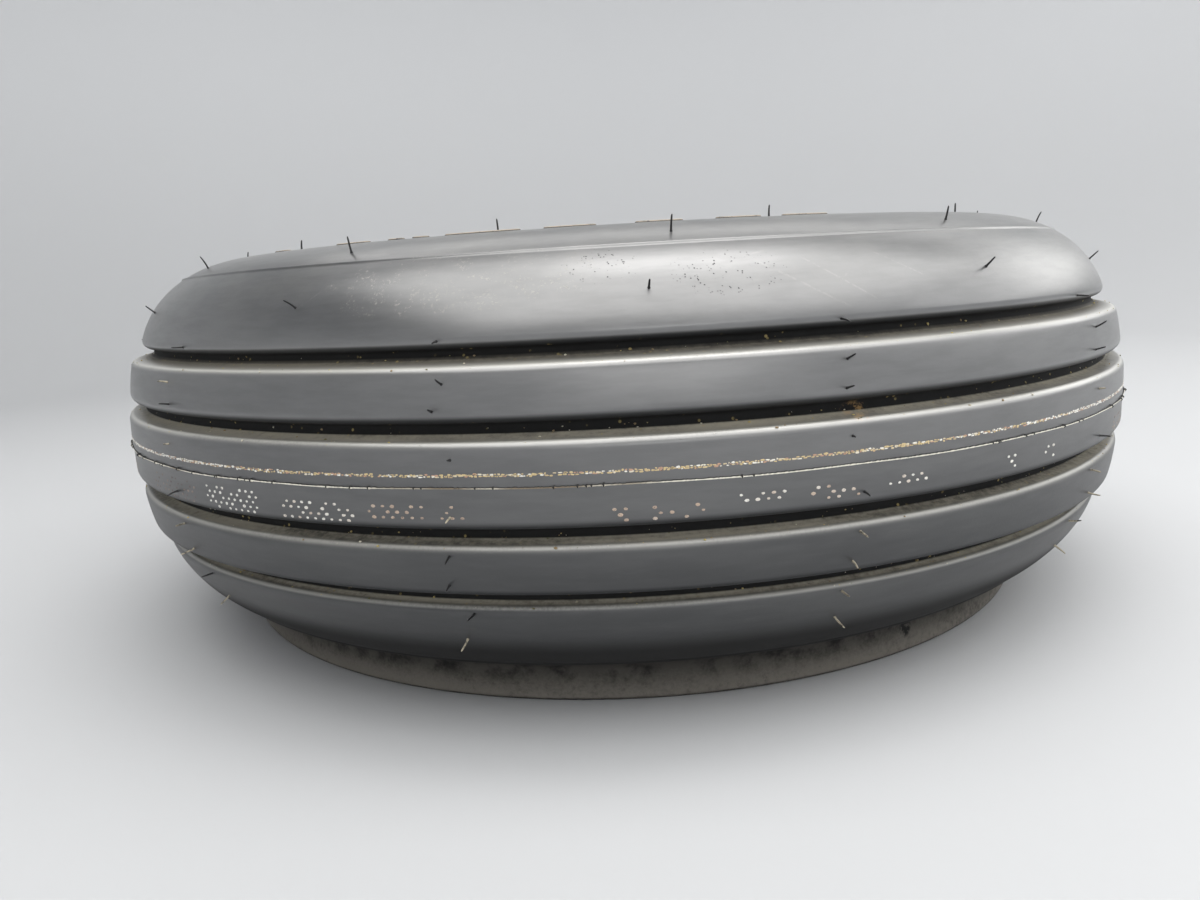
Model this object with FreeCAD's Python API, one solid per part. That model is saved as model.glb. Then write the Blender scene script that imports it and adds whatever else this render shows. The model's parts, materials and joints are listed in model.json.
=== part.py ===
# Aircraft tire lying on its side, one piece of moulded rubber, in mm with +Z up
import FreeCAD, Part
import math
import os

# sizes that drive the section; heights are taken from the tread's middle plane
tread_r = 222.25          # radius at the middle of the tread
middle_z = 82.4           # height of the middle plane above the floor
bead_r = 101.6            # bead seat, fits an 8 inch wheel
bead_half = 54.0          # outer face of each bead
bead_base = 25.0          # width of a bead's foot along the axis
heel_cut = 3.5            # bevel at a bead's outer corner

rib_edge_r = tread_r      # middle rib at the edges of the inner grooves
inner_near = 12.0         # inner groove, edge nearer the middle
inner_far = 17.95         # inner groove, edge further out
inner_far_r = 220.95
outer_near = 32.45        # outer groove, edge nearer the middle
outer_near_r = 218.6
outer_far = 38.0          # outer groove, edge on the shoulder
groove_depth = 6.3
groove_draft = 1.6        # how far each wall leans in over its depth
groove_bevel = 1.6        # bevel along a rib's edge
floor_level = 0.2         # share of the fall between its edges that each floor corner evens out

shoulder_r = 169.8        # centre of the shoulder's ellipse
shoulder_z = 29.4
shoulder_a = 45.7         # its half axis across the tire
shoulder_b = 41.0         # its half axis along the tire's axis
sidewall_in_r = 112.0     # where the sidewall meets the bead's outer face

cavity_r = 204.5          # inside of the crown
cavity_edge_z = 34.0      # half width of the crown's inside
cavity_top_r = 166.0      # the hollow's widest place, behind the sidewall's crown
sidewall_thick = 8.0

lip_wall_r = 182.7        # outer wall of the water deflector on the lower shoulder
lip_start = 56.0          # angle on the shoulder's ellipse where its hollow curve begins
lip_curve_out = 2.4       # the middle of that curve, outside the wall
lip_curve_drop = 3.4      # and below the end of the shoulder
lip_root_z = 71.0         # where the curve has turned into the wall
lip_waist = 0.6           # how much narrower the wall is there than at its edge
lip_tip = 11.0            # thickness of its edge
lip_in_r = 162.0          # where its inner side meets the sidewall


def ellipse(a, b, r0, z0, first, last, flats, side):
    """Points of a curved shoulder, turned as a few flats."""
    points = []
    for i in range(flats + 1):
        t = math.radians(first + (last - first) * i / flats)
        points.append((r0 + a * math.cos(t), side * (z0 + b * math.sin(t))))
    return points


def groove(top_r, near_r, near_z, far_r, far_z, side):
    """Points of one tread groove: bevel, leaning wall, floor, leaning wall, bevel."""
    deep = groove_bevel * groove_draft / groove_depth
    even = floor_level * (near_r - far_r)
    return [
        (top_r, side * (near_z - groove_bevel)),
        (near_r - groove_bevel, side * (near_z + deep)),
        (near_r - groove_depth - even, side * (near_z + groove_draft)),
        (far_r - groove_depth + even, side * (far_z - groove_draft)),
        (far_r - groove_bevel, side * (far_z - deep)),
    ]


# the sidewall's arc, level at the crown and falling to the bead
crown_z = shoulder_z + shoulder_b
wall_drop = crown_z - bead_half
wall_run = shoulder_r - sidewall_in_r
wall_arc = (wall_run * wall_run + wall_drop * wall_drop) / (2.0 * wall_drop)


def sidewall(first_r, last_r, flats, side):
    """Points along the outside of a sidewall between two radii."""
    points = []
    for i in range(flats + 1):
        r = first_r + (last_r - first_r) * i / flats
        z = crown_z - wall_arc + math.sqrt(wall_arc * wall_arc - (shoulder_r - r) ** 2)
        points.append((r, side * z))
    return points


def bead(side):
    """Points of a bead: outer face, heel, seat and toe."""
    return [
        (bead_r + heel_cut, side * bead_half),
        (bead_r, side * (bead_half - heel_cut)),
        (bead_r, side * (bead_half - bead_base)),
    ]


# tread, from the upper shoulder down to the lower one
start = math.degrees(math.asin((outer_far + groove_bevel - shoulder_z) / shoulder_b))
edge = ellipse(shoulder_a, shoulder_b, shoulder_r, shoulder_z, start, 90.0, 1, 1)[0]
outer_far_r = edge[0]
rib_fall = (inner_far_r - outer_near_r) * groove_bevel / (outer_near - inner_far)
rib_top_r = inner_far_r - rib_fall
rib_low_r = outer_near_r + rib_fall
upper = groove(rib_low_r, outer_near_r, outer_near, outer_far_r, outer_far, 1)
upper_in = groove(rib_edge_r, rib_edge_r, inner_near, inner_far_r, inner_far, 1)
lower_in = groove(rib_edge_r, rib_edge_r, inner_near, inner_far_r, inner_far, -1)
lower = groove(rib_low_r, outer_near_r, outer_near, outer_far_r, outer_far, -1)
tread = list(reversed(upper))
tread += [(rib_top_r, inner_far + groove_bevel)] + list(reversed(upper_in))
tread += lower_in + [(rib_top_r, -inner_far - groove_bevel)]
tread += lower

# lower shoulder, the deflector that the tire stands on, sidewall and bead
low_side = ellipse(shoulder_a, shoulder_b, shoulder_r, shoulder_z, start, lip_start, 3, -1)
low_side += [
    (lip_wall_r + lip_curve_out, low_side[-1][1] - lip_curve_drop),
    (lip_wall_r - lip_waist, -lip_root_z),
    (lip_wall_r, -middle_z),
    (lip_wall_r - lip_tip, -middle_z),
]
low_side += sidewall(lip_in_r, sidewall_in_r, 1, -1)
low_side += bead(-1)

# inside of the casing, then the upper bead, sidewall and shoulder
hollow_z = crown_z - sidewall_thick
inside = [
    (cavity_top_r, -hollow_z),
    (cavity_r, -cavity_edge_z),
    (cavity_r, cavity_edge_z),
    (cavity_top_r, hollow_z),
]
up_side = list(reversed(bead(1)))
up_side += list(reversed(sidewall(shoulder_r, sidewall_in_r, 2, 1)))
up_side += list(reversed(ellipse(shoulder_a, shoulder_b, shoulder_r, shoulder_z, start, 90.0, 5, 1)))[1:]

# one turn about the axis
points = tread + low_side + inside + up_side
section = [FreeCAD.Vector(r, 0.0, z + middle_z) for r, z in points]
face = Part.Face(Part.makePolygon(section + [section[0]]))
tire = face.revolve(FreeCAD.Vector(0, 0, 0), FreeCAD.Vector(0, 0, 1), 360)
if tire.Volume < 0:
    tire.reverse()

os.makedirs("parts", exist_ok=True)
tire.exportStep("parts/tire.step")
print("tire", tire.ShapeType, tire.isValid(), "volume cm3", round(tire.Volume / 1000.0, 1))
print("section points", len(points), "area cm2", round(face.Area / 100.0, 2))
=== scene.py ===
# Aircraft tire lying on its side: black rubber as it left the mould, with vent stubs, a flash line,
# a speckled paint line, worn dots, raised dashes and dust in the grooves.
# Sizes are in mm, heights run from the tread's middle plane, angles round the tire from the front.
# Only the finishes' own places and height limits are in metres from the floor.
import bpy
import json
import math
import numpy as np
from mathutils import Matrix, Vector


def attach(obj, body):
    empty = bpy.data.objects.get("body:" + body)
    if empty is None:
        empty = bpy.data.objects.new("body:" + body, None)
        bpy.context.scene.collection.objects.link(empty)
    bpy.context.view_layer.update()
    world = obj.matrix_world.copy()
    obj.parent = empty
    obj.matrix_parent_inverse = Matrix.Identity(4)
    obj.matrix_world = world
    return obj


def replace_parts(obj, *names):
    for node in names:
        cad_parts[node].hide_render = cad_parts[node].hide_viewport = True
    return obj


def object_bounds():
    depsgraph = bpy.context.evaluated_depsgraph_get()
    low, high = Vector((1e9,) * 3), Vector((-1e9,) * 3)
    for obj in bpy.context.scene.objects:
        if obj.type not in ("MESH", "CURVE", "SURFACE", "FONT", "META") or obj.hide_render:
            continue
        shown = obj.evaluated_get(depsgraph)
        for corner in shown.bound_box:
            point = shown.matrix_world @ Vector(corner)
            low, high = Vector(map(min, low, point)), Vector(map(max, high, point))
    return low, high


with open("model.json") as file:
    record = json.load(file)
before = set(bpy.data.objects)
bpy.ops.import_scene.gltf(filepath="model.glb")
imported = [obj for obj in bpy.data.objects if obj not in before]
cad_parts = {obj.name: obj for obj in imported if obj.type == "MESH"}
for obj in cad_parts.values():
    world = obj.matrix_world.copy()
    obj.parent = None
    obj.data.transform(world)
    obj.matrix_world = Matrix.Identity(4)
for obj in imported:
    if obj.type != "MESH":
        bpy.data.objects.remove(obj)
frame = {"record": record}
cadLow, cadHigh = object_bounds()
mm = 0.001
treadRadius = cadHigh.x / mm
seat = frame["record"]["mounts"][0]
beadRadius = seat["dims"]["r_mm"]
middleHeight = seat["pos_m"][2] / mm     # the tread's middle plane above the floor
print("frame loaded, tread radius", round(treadRadius, 2), "middle plane at", round(middleHeight, 2))


# shader maths
def put(place, item):
    # links a value to a socket, or writes a plain number or colour into it
    if isinstance(item, Value):
        item.socket.id_data.links.new(item.socket, place)
    elif item is not None:
        place.default_value = item


class Value:
    # one output socket, so that shader maths reads as plain expressions
    def __init__(self, socket):
        self.socket = socket

    def maths(self, operation, first, second=None):
        node = self.socket.id_data.nodes.new("ShaderNodeMath")
        node.operation = operation
        put(node.inputs[0], first)
        put(node.inputs[1], second)
        return Value(node.outputs[0])

    def __add__(self, other):
        return self.maths("ADD", self, other)

    def __sub__(self, other):
        return self.maths("SUBTRACT", self, other)

    def __rsub__(self, other):
        return self.maths("SUBTRACT", other, self)

    def __mul__(self, other):
        return self.maths("MULTIPLY", self, other)

    __radd__ = __add__
    __rmul__ = __mul__


class Finish:
    # a material and the few moves that all the finishes here are made of
    def __init__(self, name, colour):
        self.colour = colour
        self.material = bpy.data.materials.new(name)
        self.material.use_nodes = True
        self.tree = self.material.node_tree
        self.tree.nodes.clear()
        self.place = self.node("ShaderNodeTexCoord", output="Object")

    def node(self, kind, settings=None, inputs=None, output=0):
        made = self.tree.nodes.new(kind)
        for name, value in (settings or {}).items():
            setattr(made, name, value)
        for name, value in (inputs or {}).items():
            put(made.inputs[name], value)
        return Value(made.outputs[output])

    def mask(self, name):
        return self.node("ShaderNodeAttribute", {"attribute_name": name}, output="Fac")

    def noise(self, size, detail=3.0, roughness=0.55, place=None):
        # cloudy noise whose blotches are about size mm across
        return self.node("ShaderNodeTexNoise", None, {
            "Vector": place or self.place, "Scale": 1.0 / (size * mm),
            "Detail": detail, "Roughness": roughness})

    def grains(self, size):
        # distance from the nearest of many scattered points, size mm apart
        return self.node("ShaderNodeTexVoronoi", None, {"Vector": self.place, "Scale": 1.0 / (size * mm)})

    def rise(self, value, low, high):
        # 0 below low, 1 above high and smooth between them; low may be the larger one
        return self.node("ShaderNodeMapRange", {"interpolation_type": "SMOOTHSTEP"}, {
            "Value": value, "From Min": low, "From Max": high})

    def mix(self, first, second, share):
        node = self.tree.nodes.new("ShaderNodeMix")
        node.data_type = "RGBA"
        put(node.inputs[0], share)
        for place, tone in ((6, first), (7, second)):
            put(node.inputs[place], tone if isinstance(tone, Value) else (*tone, 1.0))
        return Value(node.outputs[2])

    def cover(self, tone, share):
        # lays a tone over the colour so far
        self.colour = self.mix(self.colour, tone, share)

    def vector(self, operation, first, second=None, scale=None, output=0):
        node = self.tree.nodes.new("ShaderNodeVectorMath")
        node.operation = operation
        put(node.inputs[0], first)
        put(node.inputs[1], second)
        if scale is not None:
            put(node.inputs["Scale"], scale)
        return Value(node.outputs[output])

    def near(self, spot, size, soft=0.45):
        # 1 round a spot (angle, radius, height), fading to 0 at the given half sizes in mm
        angle, radius, height = spot
        centre = onAxes(math.radians(angle), radius, height) * mm
        offset = self.vector("SUBTRACT", self.place, tuple(centre))
        scaled = self.vector("DIVIDE", offset, tuple(np.array(size) * mm))
        length = self.vector("LENGTH", scaled, output="Value")
        return self.rise(length, 1.0, 1.0 - soft)

    def zones(self, places):
        # 1 near any of some places on the tire, each a spot, its half sizes and perhaps a softness
        return sum(self.near(*place) for place in places)

    def axis(self, name):
        return self.node("ShaderNodeSeparateXYZ", None, {"Vector": self.place}, output=name)

    def scratch(self, start, end, wide):
        # a thin straight mark on the front half, as seen from the front, between two places given as x
        # and height in mm: it fades sideways outside its core and over the last few mm at both ends
        fade, core, frontHalf = 4.0 * mm, 0.3, (0.0, -0.02)
        start, end = np.array(start), np.array(end)
        length = float(np.linalg.norm(end - start))
        ux, uz = ((end - start) / length).tolist()
        x = self.axis("X") - start[0] * mm
        z = self.axis("Z") - (start[1] + middleHeight) * mm
        run, off = x * ux + z * uz, x * uz - z * ux
        off = off.maths("ABSOLUTE", off)
        ends = self.rise(run, 0.0, fade) * self.rise(run, length * mm, length * mm - fade)
        return self.rise(off, wide * mm, core * wide * mm) * ends * self.rise(self.axis("Y"), *frontHalf)

    def wrapped(self, stretch):
        # place on the tire's skin: round the tire, made longer by stretch, and along its section
        flat = self.vector("MULTIPLY", self.place, (1.0, 1.0, 0.0))
        around = self.vector("NORMALIZE", flat)
        ring = self.vector("SCALE", around, scale=treadRadius * mm / stretch)
        rise = self.node("ShaderNodeCombineXYZ", None, {"Z": self.mask("along")})
        return self.vector("ADD", ring, rise)

    def bump(self, height, depth, strength=1.0, normal=None):
        return self.node("ShaderNodeBump", None, {
            "Height": height, "Distance": depth * mm, "Strength": strength, "Normal": normal})

    def finish(self, roughness, normal=None, coat=None, **fixed):
        inputs = {"Base Color": self.colour, "Roughness": roughness, "Normal": normal, "Coat Weight": coat}
        shader = self.node("ShaderNodeBsdfPrincipled", None, inputs)
        for name, value in fixed.items():
            shader.socket.node.inputs[name].default_value = value
        end = self.tree.nodes.new("ShaderNodeOutputMaterial")
        self.tree.links.new(shader.socket, end.inputs["Surface"])
        return self.material


# places on the tire
def evenTurns(count):
    # angles of a full turn in equal steps
    return np.arange(count) * math.tau / count


def ramp(value, start, end):
    # 0 at start, 1 at end, straight between them and level outside
    return np.clip((value - start) / (end - start), 0.0, 1.0)


def unit(vectors):
    return vectors / np.linalg.norm(vectors, axis=-1, keepdims=True)


def onAxes(angle, radius, height):
    # angle 0 is the front, towards -Y, and it grows towards +X; z is measured from the floor
    return np.stack(np.broadcast_arrays(
        radius * np.sin(angle), -radius * np.cos(angle), height + middleHeight), axis=-1)


section = {
    # grooves: height of both edges, radius at each edge, and how the walls and floor lean
    "innerGroove": (12.0, 17.95), "innerFarRadius": 220.95,
    "outerGroove": (32.45, 38.0), "outerNearRadius": 218.6, "outerFarRadius": 214.25,
    "grooveDepth": 6.3, "grooveDraft": 1.6, "floorLevel": 0.2, "ribRound": 2.7, "floorRound": 1.2,
    # ribs bulge outwards between these shares of their width; heights of points on the middle one
    "ribBulge": 0.32, "ribShares": (0.2, 0.8), "middleHeights": (8.8, 7.0, 5.2, 3.2, 1.4, 0.2),
    # below the parting line the middle rib steps in, and between two heights back out
    "partingHeight": -0.6, "partingEnd": -0.85, "partingStep": 0.12, "partingBack": (-9.0, -5.0),
    # shoulder: centre, half sizes and the angles of its ellipse, and the seam raised on it
    "shoulder": (169.8, 29.4), "shoulderHalf": (45.7, 41.0), "shoulderStart": 15.8,
    "seamAngle": 55.3, "seamHeight": 0.5, "seamWidth": 0.42, "seamReach": 2.6,
    "seamSteps": (-1.6, -1.1, -0.75, -0.4, 0.0, 0.4, 0.75, 1.1, 1.6),
    # lip: corners on its wall as distance from lipWall, height, rounding and steps
    "lipWall": 182.7, "lipTip": 11.0, "lipInner": 162.0,
    "lipRound": 1.6, "lipTipRound": 1.2, "lipRootRound": 2.5,
    "lipCorners": ((2.6, -66.6, 2.2, 6), (-0.7, -71.4, 4.0, 5), (-0.3, -76.5, 0, 1)),
    "sidewallEnd": 112.0, "sidewallStart": 166.0, "beadHalf": 54.0, "beadBase": 25.0, "seatMiddle": 40.0,
    "heelRound": 6.0, "toeRound": 2.0,
    "cavityRadius": 204.5, "cavityEdge": 34.0, "cavityTop": 166.0, "wall": 8.0,
    "cavityRound": 30.0, "cavityTopRound": 26.0,
    # ring on the upper sidewall: radius, height and width, and points across it
    "fittingLine": (121.0, 0.5, 0.7), "fittingSteps": (-1.8, -1.1, -0.6, 0.0, 0.6, 1.1, 1.8),
}


def cornerArc(before, corner, after, radius, steps):
    # a circle's arc that touches the two runs beside a corner: its ends lie radius over the tangent of
    # half the corner's angle from it, and its points turn evenly from one end to the other
    back, ahead = unit(before - corner), unit(after - corner)
    half = math.acos(float(np.clip(back @ ahead, -1.0, 1.0))) / 2.0
    reach = radius / math.tan(half)
    centre = corner + unit(back + ahead) * radius / math.sin(half)
    first, last = corner + back * reach - centre, corner + ahead * reach - centre
    turn = math.pi - 2.0 * half
    share = np.linspace(0.0, 1.0, steps)[:, None]
    return centre + (np.sin((1.0 - share) * turn) * first + np.sin(share * turn) * last) / math.sin(turn)


def roundedRun(corners):
    # corners are r, z, radius and steps; a radius of 0 keeps the point itself
    places = np.array([corner[:2] for corner in corners])
    parts = []
    for i, (r, z, radius, steps) in enumerate(corners):
        if radius == 0 or i in (0, len(corners) - 1):
            parts.append(places[i][None])
        else:
            parts.append(cornerArc(places[i - 1], places[i], places[i + 1], radius, steps))
    return np.vstack(parts)


def shoulderArc(angles, side):
    # the shoulder's ellipse at the given angles, with the mould seam raised on it as a narrow bell
    (r0, z0), (a, b) = section["shoulder"], section["shoulderHalf"]
    t = np.radians(angles)
    normal = unit(np.stack([np.cos(t) / a, np.sin(t) / b], 1))
    reach = (angles - section["seamAngle"]) * math.pi / 180.0 * a / section["seamWidth"]
    raised = section["seamHeight"] * np.exp(-reach ** 2)
    points = np.stack([r0 + a * np.cos(t), z0 + b * np.sin(t)], 1) + normal * raised[:, None]
    return points * (1.0, side)


def sidewallArc(radii, side):
    # a circle, level at the shoulder's crown and falling to the bead's outer face, with a low ring on it
    r0 = section["shoulder"][0]
    crown = section["shoulder"][1] + section["shoulderHalf"][1]
    drop, run = crown - section["beadHalf"], r0 - section["sidewallEnd"]
    arc = (run * run + drop * drop) / (2.0 * drop)
    ring, high, wide = section["fittingLine"]
    z = crown - arc + np.sqrt(arc * arc - (r0 - radii) ** 2) + high * np.exp(-((radii - ring) / wide) ** 2)
    return np.stack([radii, side * z], 1)


def crownHeight(radius):
    # height of the upper skin near its crown: the sidewall's circle, and the shoulder's ellipse outside it
    (r0, z0), (a, b) = section["shoulder"], section["shoulderHalf"]
    wall = sidewallArc(np.minimum(radius, r0).ravel(), 1)[:, 1].reshape(radius.shape)
    ellipse = z0 + b * np.sqrt(1.0 - (np.maximum(radius - r0, 0.0) / a) ** 2)
    return np.where(radius > r0, ellipse, wall)


def trench(nearRadius, nearHeight, farRadius, farHeight):
    # corners of one groove, from the edge nearer the middle outwards
    deep, draft = section["grooveDepth"], section["grooveDraft"]
    even = section["floorLevel"] * (nearRadius - farRadius)
    edge, floor = section["ribRound"], section["floorRound"]
    return [
        (nearRadius, nearHeight, edge, 7), (nearRadius - deep - even, nearHeight + draft, floor, 5),
        (farRadius - deep + even, farHeight - draft, floor, 5), (farRadius, farHeight, edge, 7)]


def ribFace(start, end, steps):
    # points between a rib's two edges, both left out, that bulge outwards by a parabola
    share = np.linspace(*section["ribShares"], steps)
    bulge = section["ribBulge"] * (1.0 - (2.0 * share - 1.0) ** 2)
    return [(start[0] + (end[0] - start[0]) * s + b, start[1] + (end[1] - start[1]) * s, 0, 1)
            for s, b in zip(share, bulge)]


def halfTread():
    # corners of the upper half of the tread, from the middle rib to the shoulder
    inner, outer = section["innerGroove"], section["outerGroove"]
    first = trench(treadRadius, inner[0], section["innerFarRadius"], inner[1])
    second = trench(section["outerNearRadius"], outer[0], section["outerFarRadius"], outer[1])
    return first + ribFace(first[-1], second[0], 5) + second


def tireSection():
    # the whole closed outline: down the tread, round the lip and the lower bead, through the hollow,
    # and up over the upper bead and sidewall to the shoulder
    half = halfTread()
    low, heights = section["partingHeight"], np.array(section["middleHeights"])
    heights = np.concatenate([heights, [low - 0.1], -heights[:-1][::-1]])
    radii = treadRadius + section["ribBulge"] * (1.0 - (heights / section["innerGroove"][0]) ** 2)
    stepped = ramp(heights, low, section["partingEnd"]) * ramp(heights, *section["partingBack"])
    middleRib = [(r, h, 0, 1) for r, h in zip(radii - section["partingStep"] * stepped, heights)]

    start, seam, reach = section["shoulderStart"], section["seamAngle"], section["seamReach"]
    onSeam = seam + np.array(section["seamSteps"])
    upper = shoulderArc(np.concatenate([
        np.linspace(90.0, seam + reach, 14), onSeam[::-1], np.linspace(seam - reach, start, 18)]), 1)
    lower = shoulderArc(np.concatenate([np.linspace(start, seam - reach, 18), onSeam]), -1)
    tread = [(*upper[-1], 0, 1)] + half[::-1] + middleRib
    tread += [(r, -z, a, n) for r, z, a, n in half] + [(*lower[0], 0, 1)]
    treadRun = roundedRun(tread)[1:-1]

    wall = section["lipWall"]
    lipInner = sidewallArc(np.array([section["lipInner"]]), -1)[0]
    lowSide = sidewallArc(np.linspace(section["lipInner"] - 4.0, section["sidewallEnd"], 12), -1)
    lip = [(*lower[-1], 0, 1)] + [(wall + out, *rest) for out, *rest in section["lipCorners"]]
    lip += [(wall, -middleHeight, section["lipRound"], 6),
            (wall - section["lipTip"], -middleHeight, section["lipTipRound"], 5),
            (*lipInner, section["lipRootRound"], 5), (*lowSide[0], 0, 1)]
    lip = roundedRun(lip)[1:-1]

    # the upper half from the middle of the hollow to the bead's outer face; the lower half mirrors it
    beadHalf = section["beadHalf"]
    top = section["shoulder"][1] + section["shoulderHalf"][1] - section["wall"]
    inside = [
        (section["cavityRadius"], 0.0, 0, 1),
        (section["cavityRadius"], section["cavityEdge"], section["cavityRound"], 8),
        (section["cavityTop"], top, section["cavityTopRound"], 8),
        (beadRadius, beadHalf - section["beadBase"], section["toeRound"], 5),
        (beadRadius, section["seatMiddle"], 0, 1),
        (beadRadius, beadHalf, section["heelRound"], 7),
        (section["sidewallEnd"], beadHalf, 0, 1)]
    mirrored = [(r, -z, a, n) for r, z, a, n in inside[:0:-1]]
    insideRun = roundedRun(mirrored + inside)[1:-1]

    ring = section["fittingLine"][0]
    upSide = sidewallArc(np.concatenate([
        np.linspace(section["sidewallEnd"], ring - 3.0, 3), ring + np.array(section["fittingSteps"]),
        np.linspace(ring + 4.0, section["sidewallStart"], 14)]), 1)
    skinParts = [upper, treadRun, lower]
    return np.vstack(skinParts + [lip, lowSide, insideRun, upSide]), sum(len(part) for part in skinParts)


unround = {
    "waves": [(0.10, 2.0, 0.7, 0.0), (0.05, 5.0, 0.0, 0.05), (0.03, 11.0, 0.0, -0.07)],
    "between": (160.0, 195.0),       # radius where the waves start and where they are full
}


def wobble(angle, radius, height):
    # the cured casing isn't perfectly round: three slow waves, each with its size, number round the tire,
    # phase and slant, gone towards the crown and the bead
    wave = sum(size * np.sin(number * angle + phase + slant * height)
               for size, number, phase, slant in unround["waves"])
    return wave * ramp(radius, *unround["between"])


sectionPoints, skinCount = tireSection()
skin = sectionPoints[:skinCount]         # from the crown down to the lower seam
skinStep = np.gradient(skin, axis=0)
skinNormal = unit(np.stack([-skinStep[:, 1], skinStep[:, 0]], 1))


def onSkin(height):
    # radius and outward direction of the tread or shoulder at a height
    order = np.argsort(skin[:, 1], kind="stable")
    pick = [np.interp(height, skin[order, 1], column[order])
            for column in (skin[:, 0], skinNormal[:, 0], skinNormal[:, 1])]
    return pick[0], pick[1], pick[2]


def directions(angle, normalR, normalZ):
    # at places on the tire: the outward direction, round the tire, and across both
    outward = onAxes(angle, normalR, normalZ - middleHeight)
    around = onAxes(angle + math.pi / 2.0, 1.0, -middleHeight)
    return outward, around, np.cross(around, outward)


def addObject(name, data):
    made = bpy.data.objects.new(name, data)
    bpy.context.scene.collection.objects.link(made)
    return made


def gridFaces(rows, columns, closedRows=False):
    # four-sided faces between neighbouring rows and columns, closed round the columns
    i = np.arange(rows if closedRows else rows - 1)[:, None]
    j = np.arange(columns)[None, :]
    nextRow, nextColumn = (i + 1) % rows, (j + 1) % columns
    corners = [i * columns + j, nextRow * columns + j,
               nextRow * columns + nextColumn, i * columns + nextColumn]
    return np.stack([np.broadcast_to(c, (len(i), columns)) for c in corners], -1).reshape(-1, 4)


def makePiece(name, points, faces, material, values=None):
    # points in mm; faces is a list of arrays, each with one row of point numbers a face
    mesh = bpy.data.meshes.new(name)
    counts = np.concatenate([np.full(len(f), f.shape[1]) for f in faces])
    starts = np.concatenate([[0], np.cumsum(counts)[:-1]])
    mesh.vertices.add(len(points))
    mesh.vertices.foreach_set("co", (points * mm).astype(np.float32).ravel())
    mesh.loops.add(int(counts.sum()))
    mesh.loops.foreach_set("vertex_index", np.concatenate([f.ravel() for f in faces]).astype(np.int32))
    mesh.polygons.add(len(counts))
    mesh.polygons.foreach_set("loop_start", starts.astype(np.int32))
    mesh.update(calc_edges=True)
    mesh.polygons.foreach_set("use_smooth", np.ones(len(counts), dtype=bool))
    for valueName, numbers in (values or {}).items():
        layer = mesh.attributes.new(valueName, "FLOAT", "POINT")
        layer.data.foreach_set("value", numbers.astype(np.float32).ravel())
    mesh.materials.append(material)
    piece = addObject(name, mesh)
    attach(piece, "root")
    print("made", name, len(points), "points", len(counts), "faces")
    return piece


def closedShapes(name, rings, low, high, material, values=None):
    # many small closed shapes: rings holds shape, ring, side, xyz, and low and high close the two ends
    shapes, ringCount, sides, _ = rings.shape
    body = ringCount * sides
    points = np.concatenate([rings.reshape(shapes, body, 3), low[:, None], high[:, None]], axis=1)
    j = np.arange(sides)
    after = (j + 1) % sides
    last = (ringCount - 1) * sides
    fans = np.concatenate([
        np.stack([np.full(sides, body), j, after], 1),
        np.stack([np.full(sides, body + 1), last + after, last + j], 1)])
    offsets = (np.arange(shapes) * (body + 2))[:, None, None]
    faces = [(fans[None] + offsets).reshape(-1, 3)]
    if ringCount > 1:
        faces.append((gridFaces(ringCount, sides)[None] + offsets).reshape(-1, 4))
    shared = {key: np.repeat(numbers, body + 2) for key, numbers in (values or {}).items()}
    return makePiece(name, points.reshape(-1, 3), faces, material, shared)


# casing
casing = {
    "round": 316,
    "black": (0.013, 0.014, 0.016), "worn": (0.036, 0.037, 0.038), "hollow": (0.006, 0.006, 0.006),
    "dustAndSheen": (0.075, 0.073, 0.067), "edgeHighlight": (0.58, 0.57, 0.52), "chalk": (0.36, 0.35, 0.32),
    "scuff": (0.16, 0.155, 0.14), "dust": (0.44, 0.41, 0.33), "shadedTopDust": (0.19, 0.175, 0.14),
    "grooveShadeAndSmudge": (0.003, 0.003, 0.003), "straw": (0.42, 0.33, 0.13), "rust": (0.56, 0.34, 0.13),
    "skirt": (0.050, 0.046, 0.041), "footDustAndLight": (0.155, 0.143, 0.124),
    "darkMottleAndShade": (0.006, 0.0055, 0.005),
    # heights in metres from the floor between which each of these comes in
    "topGrooveFrom": (0.100, 0.112), "dustAndSheenFrom": (0.112, 0.150), "shadedUndersideFrom": (0.036, 0.026),
    "sheenFrom": (0.052, 0.106), "footFrom": (0.0135, 0.0035), "contactShadeFrom": (0.0002, 0.0016),
    "shadeUnderShoulderFrom": (0.0105, 0.0165),
    # places on the tire: angle, radius and height, half sizes and perhaps a softness
    "rustAt": [((17.6, 219.0, 14.0), (6.0, 7.0, 3.4)), ((17.0, 216.0, -35.0), (3.0, 4.0, 2.0))],
    "flecksAt": [((-14.0, 205.0, 56.0), (62.0, 30.0, 12.0), 0.6), ((-57.0, 205.0, 56.0), (18.0, 28.0, 16.0))],
    "pitsAt": [((-1.0, 203.0, 57.5), (13.0, 14.0, 6.0)), ((9.0, 206.0, 54.0), (20.0, 16.0, 8.0))],
    "smudgesAt": [((32.0, 182.3, -73.0), (3.4, 3.4, 4.6)), ((15.0, 190.0, -65.5), (9.0, 6.0, 3.0))],
    "scratches": [  # from and to, each as x and height, and half width
        ((39.0, 57.0), (66.5, 42.0), 0.42), ((52.0, 57.5), (75.0, 43.5), 0.34),
        ((33.0, 57.5), (44.5, 59.5), 0.36), ((63.0, 49.0), (67.5, 53.0), 0.36),
        ((74.0, 58.0), (92.0, 49.0), 0.30), ((-96.0, 50.0), (-84.0, 57.0), 0.30)],
    "shader": {"IOR": 1.5, "Specular IOR Level": 0.35, "Coat IOR": 2.5, "Coat Roughness": 0.32},
    # masks over the section: depths between which a groove starts, depth and width of a rib's edge,
    # slope downwards that darkens a rib's lower rounding, and radii that dull the upper sidewall
    "deepFrom": (1.5, 3.1), "edgeAt": 0.9, "edgeWide": 0.7, "overhang": (0.12, 0.62),
    "dullFrom": (165.0, 140.0), "crownWide": 2.6,
}


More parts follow.
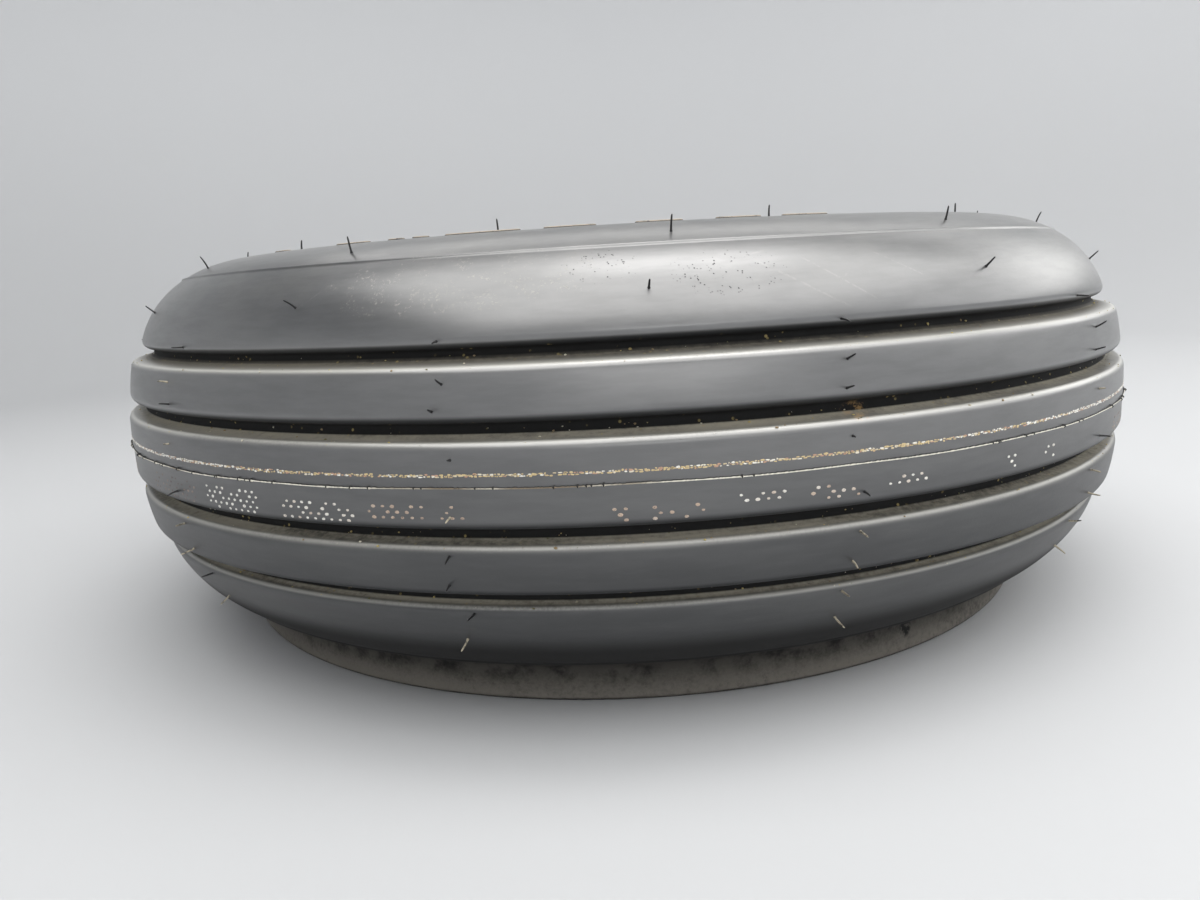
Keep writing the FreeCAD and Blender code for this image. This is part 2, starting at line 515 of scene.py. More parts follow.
def casingFinish():
    paint = Finish("mouldedRubber", casing["black"])
    groove, skirt, edge = paint.mask("groove"), paint.mask("skirt"), paint.mask("edge")
    up, long, height = paint.mask("up"), paint.wrapped(6.0), paint.axis("Z")
    outside = 1.0 - paint.mask("inside")
    cloud = paint.noise(34.0, 4.0, 0.6, long)
    streak = paint.noise(2.4, 3.0, 0.6, long)
    fine = paint.noise(0.9, 3.0, 0.65)
    speck = paint.noise(2.2, 3.0, 0.7)
    paint.cover(casing["worn"], paint.rise(cloud, 0.42, 0.72))
    paint.cover(casing["worn"], paint.rise(streak, 0.55, 0.8) * 0.45)
    # painted highlight: a pale tone on the upward-facing rounding of each rib's top edge
    paint.cover(casing["edgeHighlight"], edge * up * paint.rise(cloud + fine * 0.5, 0.30, 0.80) * 0.8)
    # grooves are painted near black inside as painted shade, and dust lies in patches on the wall that faces
    # up
    dust = groove * paint.rise(speck * 0.5 + paint.noise(14.0, 3.0, 0.6, long) * 0.7, 0.30, 0.72)
    # painted shade: near black in the grooves; the same colour also makes the smudges on the lip
    paint.cover(casing["grooveShadeAndSmudge"], groove * 0.9)
    ledge = paint.rise(up, 0.60, 0.93)
    topGroove = paint.rise(height, *casing["topGrooveFrom"])
    # painted shade: the dust in the top groove is painted darker, where more light falls on it
    dustTone = paint.mix(casing["dust"], casing["shadedTopDust"], topGroove)
    paint.cover(dustTone, dust * ledge)
    spots = paint.rise(paint.grains(2.6), 0.22, 0.12) * paint.rise(paint.noise(7.0, 2.0, 0.5), 0.5, 0.66)
    paint.cover(casing["straw"], groove * spots * 0.7)
    rust = paint.zones(casing["rustAt"]) * paint.rise(speck, 0.46, 0.62)
    paint.cover(casing["rust"], rust * 0.42)
    # pale specks on the upper shoulder
    flecks = paint.rise(paint.noise(1.1, 4.0, 0.75), 0.54, 0.64)
    flecks = flecks * paint.rise(paint.noise(6.0, 2.0, 0.5), 0.45, 0.60)
    flecks = flecks * paint.rise(paint.zones(casing["flecksAt"]), 0.0, 0.6)
    paint.cover(casing["chalk"], flecks * 0.8)
    # a film of dust on the top of the tire, which also paints in part of the top's sheen, and a paler ring
    # where the dashes stand
    dustAndSheen = paint.rise(height, *casing["dustAndSheenFrom"]) * outside
    dustAndSheen = dustAndSheen * paint.rise(paint.noise(26.0, 5.0, 0.65), 0.38, 0.66)
    paint.cover(casing["dustAndSheen"], dustAndSheen * 0.45)
    crown = paint.mask("crown") * paint.rise(paint.noise(3.2, 4.0, 0.7, long), 0.40, 0.62)
    paint.cover(casing["chalk"], crown * 0.72)
    # thin scratches and small pits on the shoulder; the pits are painted near black as painted shade
    scuffs = sum(paint.scratch(*mark) for mark in casing["scratches"])
    scuffs = scuffs * outside * paint.rise(speck, 0.38, 0.62)
    paint.cover(casing["scuff"], scuffs * 0.32)
    pits = paint.zones(casing["pitsAt"]) * paint.rise(paint.grains(0.95), 0.30, 0.17)
    pits = pits * paint.rise(paint.noise(2.4, 2.0, 0.5), 0.50, 0.56)
    paint.cover(casing["hollow"], pits * 0.9)
    # the lip: dull brown black with a darker mottle, near black under the shoulder as painted shade, paler
    # towards its foot as dust and painted light, and darker again right at the floor as painted contact shade
    foot = paint.rise(height + fine * 0.004, *casing["footFrom"]) * paint.rise(height, *casing["contactShadeFrom"])
    mottle = paint.rise(paint.noise(11.0, 4.0, 0.65), 0.42, 0.62)
    lipTone = paint.mix(casing["skirt"], casing["darkMottleAndShade"], mottle)
    foot = foot * paint.rise(cloud * 0.6 + speck * 0.5, 0.28, 0.62)
    lipTone = paint.mix(lipTone, casing["footDustAndLight"], foot)
    # painted shade: the lip's top, under the overhanging shoulder, is painted near black
    lipTone = paint.mix(lipTone, casing["darkMottleAndShade"], paint.rise(height, *casing["shadeUnderShoulderFrom"]) * 0.85)
    smudge = paint.zones(casing["smudgesAt"]) * paint.rise(paint.noise(2.6, 3.0, 0.6), 0.42, 0.55)
    lipTone = paint.mix(lipTone, casing["grooveShadeAndSmudge"], smudge)
    paint.cover(lipTone, skirt)
    shadedUnderside = paint.rise(height, *casing["shadedUndersideFrom"]) * outside      # the shoulder's dull underside, its colour painted near black as shade
    paint.cover(casing["darkMottleAndShade"], shadedUnderside * (1.0 - skirt) * 0.8)
    gloss = 0.42 + paint.rise(cloud, 0.3, 0.75) * 0.10 + fine * 0.08 + groove * 0.30
    gloss = gloss + flecks * 0.25 + skirt * 0.36 + shadedUnderside * (1.0 - skirt) * 0.3
    grain = paint.bump(fine, 0.06, 0.7)
    grain = paint.bump(paint.noise(5.5, 2.0, 0.5), 0.06, 0.5, grain)
    grain = paint.bump(pits, -0.30, 1.0, grain)
    # the sheen is strongest on the upper half, and gone on the lip and deep in the grooves
    coat = 1.0 - groove * (1.0 - ledge * (0.5 - topGroove * 0.28))
    coat = coat * (1.0 - skirt) * (1.0 - flecks * 0.6) * (1.0 - pits)
    haze = paint.rise(paint.noise(17.0, 5.0, 0.7, long), 0.36, 0.66)
    coat = coat * (0.84 + haze * 0.09 + paint.rise(streak, 0.35, 0.6) * 0.07)
    coat = coat * (outside * 0.8 + 0.2)
    coat = coat * (1.0 - paint.mask("down"))      # the lower rounding of each rib stays dark
    coat = coat * (0.32 + paint.rise(height, *casing["sheenFrom"]) * 0.68) * (1.0 - shadedUnderside)
    return paint.finish(gloss, grain, coat, **casing["shader"])


def makeCasing():
    count, angle = len(sectionPoints), evenTurns(casing["round"])
    index, (r, z) = np.arange(count), sectionPoints.T
    outer = (index < skinCount)[:, None]
    grown = r[:, None] + outer * wobble(angle, r[:, None], z[:, None])
    points = onAxes(angle, grown, z[:, None]).reshape(-1, 3)
    # masks, one number for each point of the section
    step = np.linalg.norm(np.diff(sectionPoints, axis=0, prepend=sectionPoints[-1:]), axis=1)
    length = np.cumsum(step)
    g, c = section, casing
    ribTop = np.interp(np.abs(z), [*g["innerGroove"], *g["outerGroove"]],
                       [treadRadius, g["innerFarRadius"], g["outerNearRadius"], g["outerFarRadius"]])
    below = ribTop - r
    inTread = (index < skinCount) & (np.abs(z) < g["outerGroove"][1] + 1.0)
    edge = np.exp(-((below - c["edgeAt"]) / c["edgeWide"]) ** 2)
    lip = (index >= skinCount) & (r > g["lipInner"] - 3.0) & (z < -60.0)
    upperWall = (index >= skinCount) & (z > g["beadHalf"] - 0.5)
    dull = 0.5 * ramp(r, *c["dullFrom"])
    facing, falling = np.zeros(count), np.zeros(count)
    facing[:skinCount] = np.clip(skinNormal[:, 1], 0.0, 1.0)
    facing[upperWall] = 1.0
    falling[:skinCount] = np.clip(-skinNormal[:, 1], 0.0, 1.0)
    values = {
        "groove": inTread * ramp(below, *c["deepFrom"]), "edge": inTread * edge, "skirt": lip,
        "inside": np.where(upperWall, dull, (index >= skinCount) & ~lip), "up": facing,
        "down": inTread * ramp(falling, *c["overhang"]), "along": length * mm,
        "crown": np.exp(-((r - dashes["radius"]) / c["crownWide"]) ** 2) * (z > 60.0)}
    shared = {key: np.repeat(numbers, casing["round"]) for key, numbers in values.items()}
    faces = [gridFaces(count, casing["round"], closedRows=True)]
    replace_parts(makePiece("tireCasing", points, faces, casingFinish(), shared), "tire")


# vent stubs
stubs = {
    "everyDegrees": 30.0, "mainFrom": -13.0, "sides": 6,
    "mainRows": [  # height, length
        (39.5, 4.3), (28.5, 3.9), (21.0, 3.9), (8.0, 1.6), (-8.5, 3.6), (-20.5, 3.9), (-29.5, 4.2),
        (-40.3, 4.6), (-49.6, 4.8)],
    "betweenRows": [(50.8, 2.5, 4.6), (66.4, 5.0, 4.9)],   # height, first angle, length
    "crownRadius": 169.5, "crownFrom": -12.0, "crownLength": 4.2, "crownOut": 0.05,
    "jitter": 0.7, "heightJitter": 0.4, "crownJitter": 1.0,      # degrees, share of the jitter, degrees
    "lengths": (0.8, 1.1), "crownLengths": (0.75, 1.0),
    "lean": 0.045, "bend": 0.35, "rise": 0.14, "riseFrom": 20.0,
    # along each stub: share of its length, and thickness against the taper from base to tip
    "shares": (-0.08, 0.0, 0.1, 0.35, 0.62, 0.88, 1.0), "thick": (1.6, 1.35, 1.02, 1.0, 0.98, 0.95, 0.66),
    "baseRadius": 0.35, "tipRadius": 0.27, "tipLength": 0.06, "seed": 11,
    "black": (0.012, 0.012, 0.013), "pale": (0.46, 0.41, 0.31),
    "dustAndHighlight": ((-5.0, 5.0, 46.0), (0.62, 0.48, 0.05)),      # heights, and the share of pale stubs there: dust, and low down also painted highlight
}


def stubFinish():
    paint = Finish("ventStubRubber", stubs["black"])
    # pale dust on some stubs; on the lower ones the pale also stands in as painted highlight
    dustAndHighlight = paint.mask("dustAndHighlight") * paint.rise(paint.noise(1.2, 2.0, 0.6), 0.25, 0.55)
    paint.cover(stubs["pale"], dustAndHighlight * 0.85)
    return paint.finish(0.38 + dustAndHighlight * 0.3, paint.bump(paint.noise(0.4), 0.03))


def makeStubs():
    random = np.random.default_rng(stubs["seed"])
    rows = [(z, stubs["mainFrom"], size) for z, size in stubs["mainRows"]] + stubs["betweenRows"]
    turns = np.arange(0.0, 360.0, stubs["everyDegrees"])
    parts = []      # for each row: angle, radius, height, both parts of the outward direction, and length
    for z, first, size in rows:
        r, normalR, normalZ = onSkin(z)
        jitter = random.uniform(-stubs["jitter"], stubs["jitter"], (2, len(turns)))
        parts.append((np.radians(first + turns + jitter[0]), r, z + stubs["heightJitter"] * jitter[1],
                      normalR, normalZ, size * random.uniform(*stubs["lengths"], len(turns))))
    crown = sidewallArc(np.array([stubs["crownRadius"]]), 1)[0]
    jitter = random.uniform(-stubs["crownJitter"], stubs["crownJitter"], len(turns))
    size = stubs["crownLength"] * random.uniform(*stubs["crownLengths"], len(turns))
    parts.append((np.radians(stubs["crownFrom"] + turns + jitter), *crown, stubs["crownOut"], 1.0, size))
    a, r, z, n, m, size = (
        np.concatenate([np.broadcast_to(values, len(turns)) for values in column]) for column in zip(*parts))
    base = onAxes(a, r + wobble(a, r, z), z)
    outward, around, across = directions(a, n / np.hypot(n, m), m / np.hypot(n, m))
    lean = random.normal(0.0, stubs["lean"], (2, len(a)))[..., None]
    bend = random.normal(0.0, stubs["bend"], (2, len(a)))[..., None]
    direction = outward + around * lean[0] + across * lean[1]
    direction[:, 2] += stubs["rise"] * ramp(z, 0.0, stubs["riseFrom"])
    direction = unit(direction)
    # each stub is a tapered rod along its direction, bent sideways with the square of the distance
    share = np.array(stubs["shares"])[None, :, None]
    middle = base[:, None] + direction[:, None] * share * size[:, None, None]
    middle = middle + (around * bend[0] + across * bend[1])[:, None] * np.clip(share, 0, 1) ** 2
    radius = np.interp(share.ravel(), [0.0, 1.0], [stubs["baseRadius"], stubs["tipRadius"]]) * stubs["thick"]
    turn = evenTurns(stubs["sides"])[:, None]
    first = unit(np.cross(direction, across))
    second = np.cross(first, direction)
    spread = first[:, None] * np.cos(turn) + second[:, None] * np.sin(turn)
    rings = middle[:, :, None] + spread[:, None] * radius[None, :, None, None]
    dustAndHighlight = random.uniform(0, 1, len(a)) < np.interp(z, *stubs["dustAndHighlight"])
    dustAndHighlight = dustAndHighlight * random.uniform(0.6, 1.0, len(a))
    tip = middle[:, -1] + direction * stubs["tipLength"]
    closedShapes("ventStubs", rings, middle[:, 0], tip, stubFinish(), {"dustAndHighlight": dustAndHighlight})


# flash at the mould's parting line
flash = {
    "columns": 3000, "lowest": 0.28, "usual": 0.42, "tooth": 0.75, "teethShare": 0.045, "seed": 5,
    "thick": 0.33, "above": 0.35, "waves": 160, "notch": 0.45,
    "sway": (0.10, 23.0, 0.08),      # slow wave up and down, how many round the tire, and quick jitter
    # each point of the fin's section: height by thick, reach, distance sunk into the rib, how pale
    "section": [(1.0, 0.0, -0.35, 0.0), (0.9, 0.70, 0.0, 0.0), (0.0, 1.0, 0.0, 0.65),
                (-0.7, 0.55, 0.0, 1.0), (-1.0, 0.0, -0.35, 1.0)],
    "black": (0.004, 0.004, 0.004), "pale": (0.80, 0.77, 0.66), "brown": (0.24, 0.19, 0.13),
}


def flashFinish():
    # the fin's upper side is black rubber, darkened as painted shadow, and its torn rim and lower side are
    # pale, partly dust and partly painted highlight
    paint = Finish("flashRubber", flash["black"])
    worn = paint.rise(paint.mask("low"), 0.20, 0.50) * paint.rise(paint.noise(1.6, 3.0, 0.7), 0.16, 0.40)
    tone = paint.mix(flash["brown"], flash["pale"], paint.rise(paint.noise(40.0, 2.0, 0.5), 0.30, 0.44))
    paint.cover(tone, worn)
    return paint.finish(0.6, paint.bump(paint.noise(0.5), 0.03))


def makeFlash():
    # a closed fin whose reach is a slow wave, small notches and a few torn teeth, which stay black
    random = np.random.default_rng(flash["seed"])
    columns, waves = flash["columns"], flash["waves"]
    turn = np.arange(columns) / columns
    slow = np.resize(random.uniform(0, 1, waves), waves + 1)
    slow = np.interp(turn, np.linspace(0, 1, waves + 1), slow)
    quick = random.uniform(0, 1, columns)
    torn = random.uniform(0, 1, columns) > 1.0 - flash["teethShare"]
    teeth = np.where(torn, random.uniform(0.3, 1.0, columns), 0.0)
    usual = flash["usual"] * slow * (1.0 - flash["notch"] * (1.0 - quick))
    tall = flash["lowest"] + usual + flash["tooth"] * teeth
    angle = turn * math.tau
    sway, number, shake = flash["sway"]
    shift = sway * np.sin(angle * number + 1.0) + shake * (quick - 0.5)
    high, reach, sunk, pale = np.array(flash["section"]).T[:, :, None]
    high = high * flash["thick"] * (1.0 + 0.6 * (quick - 0.5) + 1.2 * teeth)
    z = section["partingHeight"] + flash["above"] + high + shift[None]
    r = treadRadius + section["ribBulge"] + sunk + reach * tall
    points = onAxes(angle, r + wobble(angle, r, z), z).reshape(-1, 3)
    faces = gridFaces(len(high), columns, closedRows=True)
    makePiece("flashLine", points, [faces], flashFinish(), {"low": pale * (teeth == 0.0)})


def treadDabs(angle, height, halfLong, halfWide, raised, sides, ragged, random):
    # low closed dabs on the middle rib: an ellipse of few sides with a ragged rim, sunk a little, whose
    # top is a little smaller
    sunk, edge, small = 0.12, 0.6, 0.8
    turn = -evenTurns(sides)
    rim = 1.0 + ragged * random.uniform(-1.0, 1.0, (len(angle), sides))
    long = halfLong[:, None] * np.cos(turn) * rim
    wide = halfWide[:, None] * np.sin(turn) * rim
    ringAngle = angle[:, None] + long / treadRadius
    ringHeight = height[:, None] + wide
    surface = onSkin(ringHeight)[0] + wobble(ringAngle, treadRadius, ringHeight)
    levels = [
        onAxes(ringAngle, surface - sunk, ringHeight), onAxes(ringAngle, surface + raised * edge, ringHeight),
        onAxes(angle[:, None] + small * long / treadRadius, surface + raised, height[:, None] + small * wide)]
    top = onSkin(height)[0] + wobble(angle, treadRadius, height)
    return np.stack(levels, 1), onAxes(angle, top - sunk, height), onAxes(angle, top + raised, height)


# speckled line
line = {
    "height": 3.3, "flakes": 1150, "rowOffset": 0.21, "scatter": 0.10, "halfWide": 0.27, "raised": 0.05,
    "left": 0.90, "sides": 6, "ragged": 0.28, "seed": 8,
    "steps": (0.5, 1.5), "longs": (0.72, 1.12), "wides": (0.6, 1.3),      # shares of the usual, from and to
    "whiteFrom": (24.0, 44.0),      # degrees from the front where the gold turns white
    "white": (0.80, 0.78, 0.72), "gold": (0.58, 0.45, 0.24), "pink": (0.44, 0.25, 0.19),
    "dark": (0.05, 0.045, 0.04),
}


def lineFinish():
    paint = Finish("speckledPaint", line["gold"])
    white, tone = paint.mask("white"), paint.mask("tone")
    paint.cover(line["white"], paint.rise(tone + white * 0.6, 0.62, 0.95))
    paint.cover(line["pink"], paint.rise(tone, 0.24, 0.10) * 0.8)
    rub = paint.rise(paint.noise(0.7, 3.0, 0.7), 0.54, 0.66)
    paint.cover(line["dark"], rub * 0.8)
    return paint.finish(0.42 + rub * 0.2, paint.bump(paint.noise(0.5), 0.04))


def makeLine():
    # two rows of flakes side by side; in each, the steps round the tire are uneven and some are missing
    random = np.random.default_rng(line["seed"])
    steps = random.uniform(*line["steps"], (2, line["flakes"]))
    span = steps / steps.sum(1, keepdims=True) * math.tau
    angle = np.cumsum(span, axis=1) - span / 2.0
    side = np.array([[-1.0], [1.0]]) * np.ones_like(angle)
    keep = random.uniform(0, 1, angle.shape) < line["left"]
    angle, span, side = angle[keep], span[keep], side[keep]
    count = len(angle)
    halfLong = span * treadRadius / 2.0 * random.uniform(*line["longs"], count)
    halfWide = line["halfWide"] * random.uniform(*line["wides"], count)
    height = line["height"] + side * line["rowOffset"] + random.normal(0.0, line["scatter"], count)
    rings, low, high = treadDabs(
        angle, height, halfLong, halfWide, line["raised"], line["sides"], line["ragged"], random)
    turned = np.degrees(np.abs(np.where(angle > math.pi, angle - math.tau, angle)))
    white = ramp(turned, *line["whiteFrom"])
    closedShapes("speckledLine", rings, low, high, lineFinish(),
                 {"tone": random.uniform(0, 1, count), "white": white})


# worn dots
dots = {
    "pitch": 3.05, "halfLong": 0.68, "halfWide": 0.46, "raised": 0.04, "sides": 8, "ragged": 0.12,
    "sizes": (0.72, 1.08), "toneSpread": 0.18, "rows": (-4.0, -5.6, -7.2, -8.8, -10.3), "seed": 21,
    "white": (0.74, 0.72, 0.67), "tan": (0.46, 0.35, 0.27), "faint": (0.13, 0.105, 0.10),
    "groups": [  # first angle, columns, first row, rows, share that is left, tone
        (-48.5, 12, 0, 5, 0.62, 0.05), (-37.2, 9, 0, 5, 0.80, 1.0), (-27.4, 9, 1, 4, 0.76, 0.8),
        (-19.2, 10, 1, 3, 0.78, 0.40), (-0.8, 2, 2, 3, 0.60, 0.45), (2.0, 2, 2, 3, 0.55, 0.45),
        (4.2, 2, 2, 3, 0.60, 0.5), (7.7, 5, 1, 2, 0.80, 0.75), (13.4, 5, 1, 3, 0.55, 0.6),
        (19.6, 5, 1, 2, 0.72, 0.85), (31.0, 2, 1, 3, 0.80, 1.0), (36.4, 2, 1, 3, 0.80, 0.95),
        (52.0, 9, 1, 4, 0.6, 0.3), (-64.0, 9, 1, 4, 0.55, 0.2)],
}


def dotFinish():
    paint = Finish("wornPrint", dots["faint"])
    tone = paint.mask("tone")
    paint.cover(dots["tan"], paint.rise(tone, 0.0, 0.45))
    paint.cover(dots["white"], paint.rise(tone, 0.45, 0.95))
    rub = paint.rise(paint.noise(0.55, 3.0, 0.7), 0.54, 0.70)
    paint.cover(casing["black"], rub * 0.75)
    return paint.finish(0.5 + rub * 0.1, paint.bump(paint.noise(0.4), 0.03))


def makeDots():
    random = np.random.default_rng(dots["seed"])
    angles, heights, tones = [], [], []
    stepAngle = dots["pitch"] / treadRadius
    for first, columns, firstRow, rows, left, tone in dots["groups"]:
        row, column = np.meshgrid(np.arange(firstRow, firstRow + rows), np.arange(columns), indexing="ij")
        stay = random.uniform(0, 1, row.shape) < left
        angles.append((math.radians(first) + (column + 0.5 * (row % 2)) * stepAngle)[stay])
        heights.append(np.array(dots["rows"])[row][stay])
        tones.append((tone + random.uniform(-dots["toneSpread"], dots["toneSpread"], row.shape))[stay])
    angle, height, tone = (np.concatenate(part) for part in (angles, heights, tones))
    count = len(angle)
    size = random.uniform(*dots["sizes"], count)
    rings, low, high = treadDabs(
        angle, height, dots["halfLong"] * size, dots["halfWide"] * size, dots["raised"],
        dots["sides"], dots["ragged"], random)
    closedShapes("wornDots", rings, low, high, dotFinish(), {"tone": np.clip(tone, 0, 1)})


# raised dashes on the upper sidewall
dashes = {
    "radius": 171.5, "halfWide": 1.6, "high": 0.5, "sides": 40,
    # levels from below the skin to the rounded top: inset, lift as a share of the height, paleness
    "levels": [(0.0, -1.0, 0.0), (0.0, 0.45, 0.62), (0.35, 0.9, 0.9), (0.95, 1.0, 1.0)],
    "spans": [(-46, -43), (-33, -28), (-25.2, -23.2), (-22, -20), (-18, -9.5), (-7, -1.5), (2.5, 7.5),
              (11, 16), (18.5, 24)],    # degrees from the front
    "opposite": 180.0,
    "side": (0.016, 0.016, 0.017), "top": (0.46, 0.40, 0.32),
}


def dashFinish():
    paint = Finish("dashRubber", dashes["side"])
    worn = paint.rise(paint.mask("top"), 0.4, 0.9) * paint.rise(paint.noise(2.2, 3.0, 0.7), 0.30, 0.5)
    paint.cover(dashes["top"], worn * 0.95)
    return paint.finish(0.5 + worn * 0.2, paint.bump(paint.noise(0.6), 0.03))


def makeDashes():
    # bars with round ends that follow a circle on the crown, each a straight-sided oval at four levels
    spans = np.array(dashes["spans"], dtype=float)
    spans = np.radians(np.vstack([spans, spans + dashes["opposite"]]))
    centre, half = spans.mean(1), (spans[:, 1] - spans[:, 0]) / 2.0 * dashes["radius"]
    turn = evenTurns(dashes["sides"])
    wide = dashes["halfWide"]
    shrink, lift, pale = np.array(dashes["levels"]).T
    straight = (half[:, None] - wide) * np.sign(np.round(np.cos(turn), 6))[None]
    x = straight[:, None] + ((wide - shrink)[:, None] * np.cos(turn))[None]
    y = ((wide - shrink)[:, None] * np.sin(turn))[None] + np.zeros_like(x)
    radius, lift = dashes["radius"] + y, lift * dashes["high"]
    rings = onAxes(centre[:, None, None] + x / radius, radius, crownHeight(radius) + lift[None, :, None])
    skinZ = crownHeight(np.full(len(centre), dashes["radius"]))
    low = onAxes(centre, dashes["radius"], skinZ + lift[0])
    high = onAxes(centre, dashes["radius"], skinZ + lift[-1])
    piece = closedShapes("raisedDashes", rings, low, high, dashFinish())
    layer = piece.data.attributes.new("top", "FLOAT", "POINT")
    one = np.concatenate([np.repeat(pale, dashes["sides"]), [0.0, 1.0]])
    layer.data.foreach_set("value", np.tile(one, len(centre)).astype(np.float32))


# grit in the grooves
grit = {
    "count": 1200, "smallest": 0.11, "largest": 0.46, "sides": 5, "seed": 33,
    "from": -0.3, "over": 3.6, "crowding": 1.7,      # heights above a groove's lower edge, most near it
    # shares of a grain's size
    "below": 0.2, "middle": 0.35, "above": 1.1, "long": 1.3, "reaches": (0.6, 1.3), "smallness": 3,
    "tones": [(0.50, 0.40, 0.16), (0.30, 0.22, 0.12), (0.62, 0.58, 0.48), (0.16, 0.15, 0.07)],
}


def gritFinish():
    straw, brown, pale, olive = grit["tones"]
    paint = Finish("grooveGrit", straw)
    tone = paint.mask("tone")
    paint.cover(brown, paint.rise(tone, 0.3, 0.32))
    paint.cover(pale, paint.rise(tone, 0.6, 0.62))
    paint.cover(olive, paint.rise(tone, 0.85, 0.87))
    return paint.finish(0.6 + tone * 0.2)


def makeGrit():
    random = np.random.default_rng(grit["seed"])
    inner, outer = section["innerGroove"], section["outerGroove"]
    lows = np.array([outer[0], inner[0], -inner[1], -outer[1]])     # lower edge of each groove
    which = random.integers(0, 4, grit["count"])
    angle = random.uniform(0.0, math.tau, grit["count"])
    share = random.uniform(0, 1, grit["count"]) ** grit["crowding"]
    height = lows[which] + grit["from"] + grit["over"] * share
    share = random.uniform(0, 1, grit["count"]) ** grit["smallness"]
    size = grit["smallest"] + (grit["largest"] - grit["smallest"]) * share
    r, normalR, normalZ = onSkin(height)
    base = onAxes(angle, r + wobble(angle, r, height), height)
    outward, around, across = directions(angle, normalR, normalZ)
    turn = evenTurns(grit["sides"]) + random.uniform(0.0, 6.28, (grit["count"], 1))
    reach = size[:, None] * random.uniform(*grit["reaches"], turn.shape)
    ring = base[:, None] + outward[:, None] * (grit["middle"] * size)[:, None, None]
    ring = ring + around[:, None] * (reach * np.cos(turn))[..., None] * grit["long"]
    ring = ring + across[:, None] * (reach * np.sin(turn))[..., None]
    low = base - outward * (grit["below"] * size)[:, None]
    high = base + outward * (grit["above"] * size)[:, None]
    tone = random.uniform(0, 1, grit["count"])
    closedShapes("grooveGrit", ring[:, None], low, high, gritFinish(), {"tone": tone})


makeCasing()
makeStubs()
makeFlash()
makeLine()
makeDots()
makeDashes()
makeGrit()


# floor, light and camera
studio = {
    "floorRadius": 1250.0, "bend": 900.0, "wallTop": 2600.0, "sides": 128, "bendSteps": 24,
    "floorRings": (1.0, 300.0, 700.0), "drop": 0.05,     # the floor lies this far below the tire
    "pale": (0.50, 0.508, 0.52), "palerWall": (0.62, 0.63, 0.645),
    "lampColour": (1.0, 0.99, 0.97),
    "lamps": [  # name, place, aim, width, depth, watts and perhaps a colour of its own
        ("ceilingPanel", (0.42, -0.72, 1.50), (0.42, -0.72, 0.0), 2.9, 2.0, 49.0),
        ("frontPanel", (0.3, -2.0, 0.55), (0.0, -0.2, 0.12), 3.0, 0.7, 6.0),
        ("ceilingSpot", (0.23, -0.12, 1.40), (0.23, -0.12, 0.0), 0.75, 0.28, 2.4),
        ("ceilingBack", (0.4, 1.25, 1.55), (0.4, 1.25, 0.0), 3.0, 0.8, 13.5),
        ("rightFrontPanel", (1.9, 0.05, 0.85), (0.0, 0.0, 0.15), 1.9, 1.3, 4.4),
        ("rightPanel", (1.75, 0.85, 0.75), (0.0, 0.0, 0.08), 0.9, 0.9, 2.0, (1.0, 0.99, 0.96))],
    "sideSpread": 2.2, "lowLamps": 1.0, "sky": (0.86, 0.90, 0.96), "skyStrength": 0.18,
}


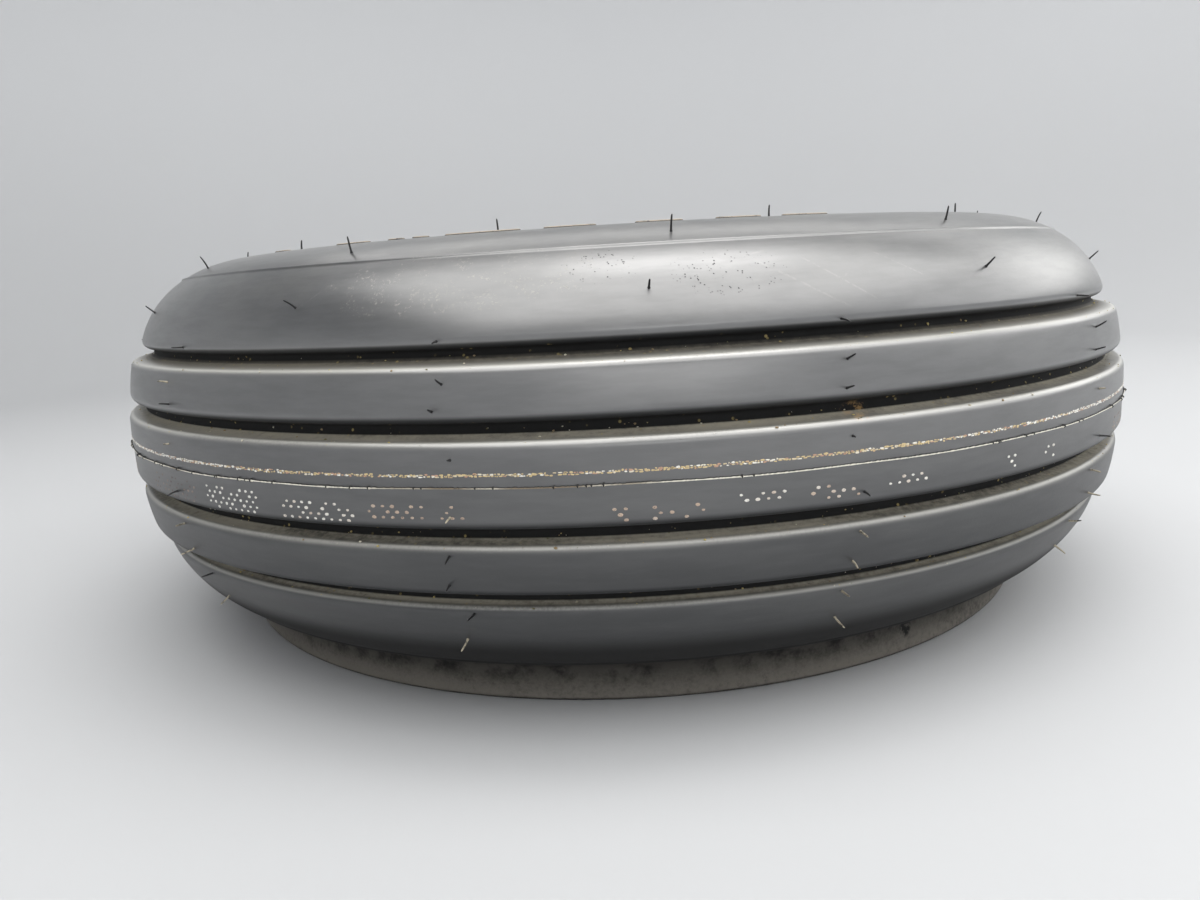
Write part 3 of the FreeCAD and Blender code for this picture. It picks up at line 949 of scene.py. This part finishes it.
def makeFloor():
    # a flat disc that turns up into a wall: a quarter circle, the same all the way round
    reach, bend, sides = studio["floorRadius"], studio["bend"], studio["sides"]
    t = np.radians(np.linspace(0.0, 90.0, studio["bendSteps"]))
    flat = np.array(studio["floorRings"])
    radius = np.concatenate([flat, reach + bend * np.sin(t), [reach + bend]])
    height = np.concatenate([0.0 * flat, bend * (1.0 - np.cos(t)), [studio["wallTop"]]])
    points = onAxes(evenTurns(sides)[None], radius[:, None], height[:, None] - middleHeight - studio["drop"])
    faces = gridFaces(len(radius), sides)[:, ::-1].tolist() + [list(range(sides))[::-1]]
    mesh = bpy.data.meshes.new("studioFloor")
    mesh.from_pydata((points.reshape(-1, 3) * mm).tolist(), [], faces)
    mesh.polygons.foreach_set("use_smooth", np.ones(len(mesh.polygons), dtype=bool))
    paint = Finish("paleFloor", studio["pale"])
    paint.cover(studio["palerWall"], paint.rise(paint.axis("Z"), 0.0, 0.8))
    mesh.materials.append(paint.finish(0.75, paint.bump(paint.noise(1.2), 0.05, 0.3)))
    addObject("studioFloor", mesh)


def makeLamp(name, place, aim, wide, deep, watts, colour=studio["lampColour"]):
    lamp = bpy.data.lights.new(name, "AREA")
    lamp.shape, lamp.size, lamp.size_y = "RECTANGLE", wide, deep
    if place[2] < studio["lowLamps"]:      # panels at the sides fade towards their own plane
        lamp.spread = studio["sideSpread"]
    lamp.energy, lamp.color = watts, colour
    holder = addObject(name, lamp)
    holder.location = place
    holder.visible_camera = False
    holder.rotation_euler = (Vector(aim) - Vector(place)).to_track_quat("-Z", "Y").to_euler()


def makeWorld():
    world = bpy.data.worlds.new("softSky")
    world.use_nodes = True
    back = world.node_tree.nodes["Background"]
    back.inputs["Color"].default_value = (*studio["sky"], 1.0)
    back.inputs["Strength"].default_value = studio["skyStrength"]
    bpy.context.scene.world = world


view = {"lens": 27.0, "place": (0.0, -0.45765, 0.13635), "turn": -0.02585, "dip": 0.18749, "lean": -0.05835}


def makeCamera():
    turn, dip, lean = view["turn"], view["dip"], view["lean"]
    ahead = Vector((math.sin(turn) * math.cos(dip), math.cos(turn) * math.cos(dip), -math.sin(dip)))
    right = Vector((math.cos(turn), -math.sin(turn), 0.0))
    up = right.cross(ahead)
    side = math.cos(lean) * right + math.sin(lean) * up
    top = -math.sin(lean) * right + math.cos(lean) * up
    lens = bpy.data.cameras.new("photoView")
    lens.lens, lens.sensor_width, lens.sensor_fit = view["lens"], 36.0, "HORIZONTAL"
    lens.clip_start, lens.clip_end = 0.01, 50.0
    camera = addObject("photoView", lens)
    rows = Matrix((side, top, -ahead)).transposed().to_4x4()
    camera.matrix_world = Matrix.Translation(view["place"]) @ rows
    bpy.context.scene.camera = camera


makeFloor()
for lamp in studio["lamps"]:
    makeLamp(*lamp)
makeWorld()
makeCamera()
bpy.context.scene.view_settings.view_transform = "Standard"
print("floor, lamps and camera are in place")
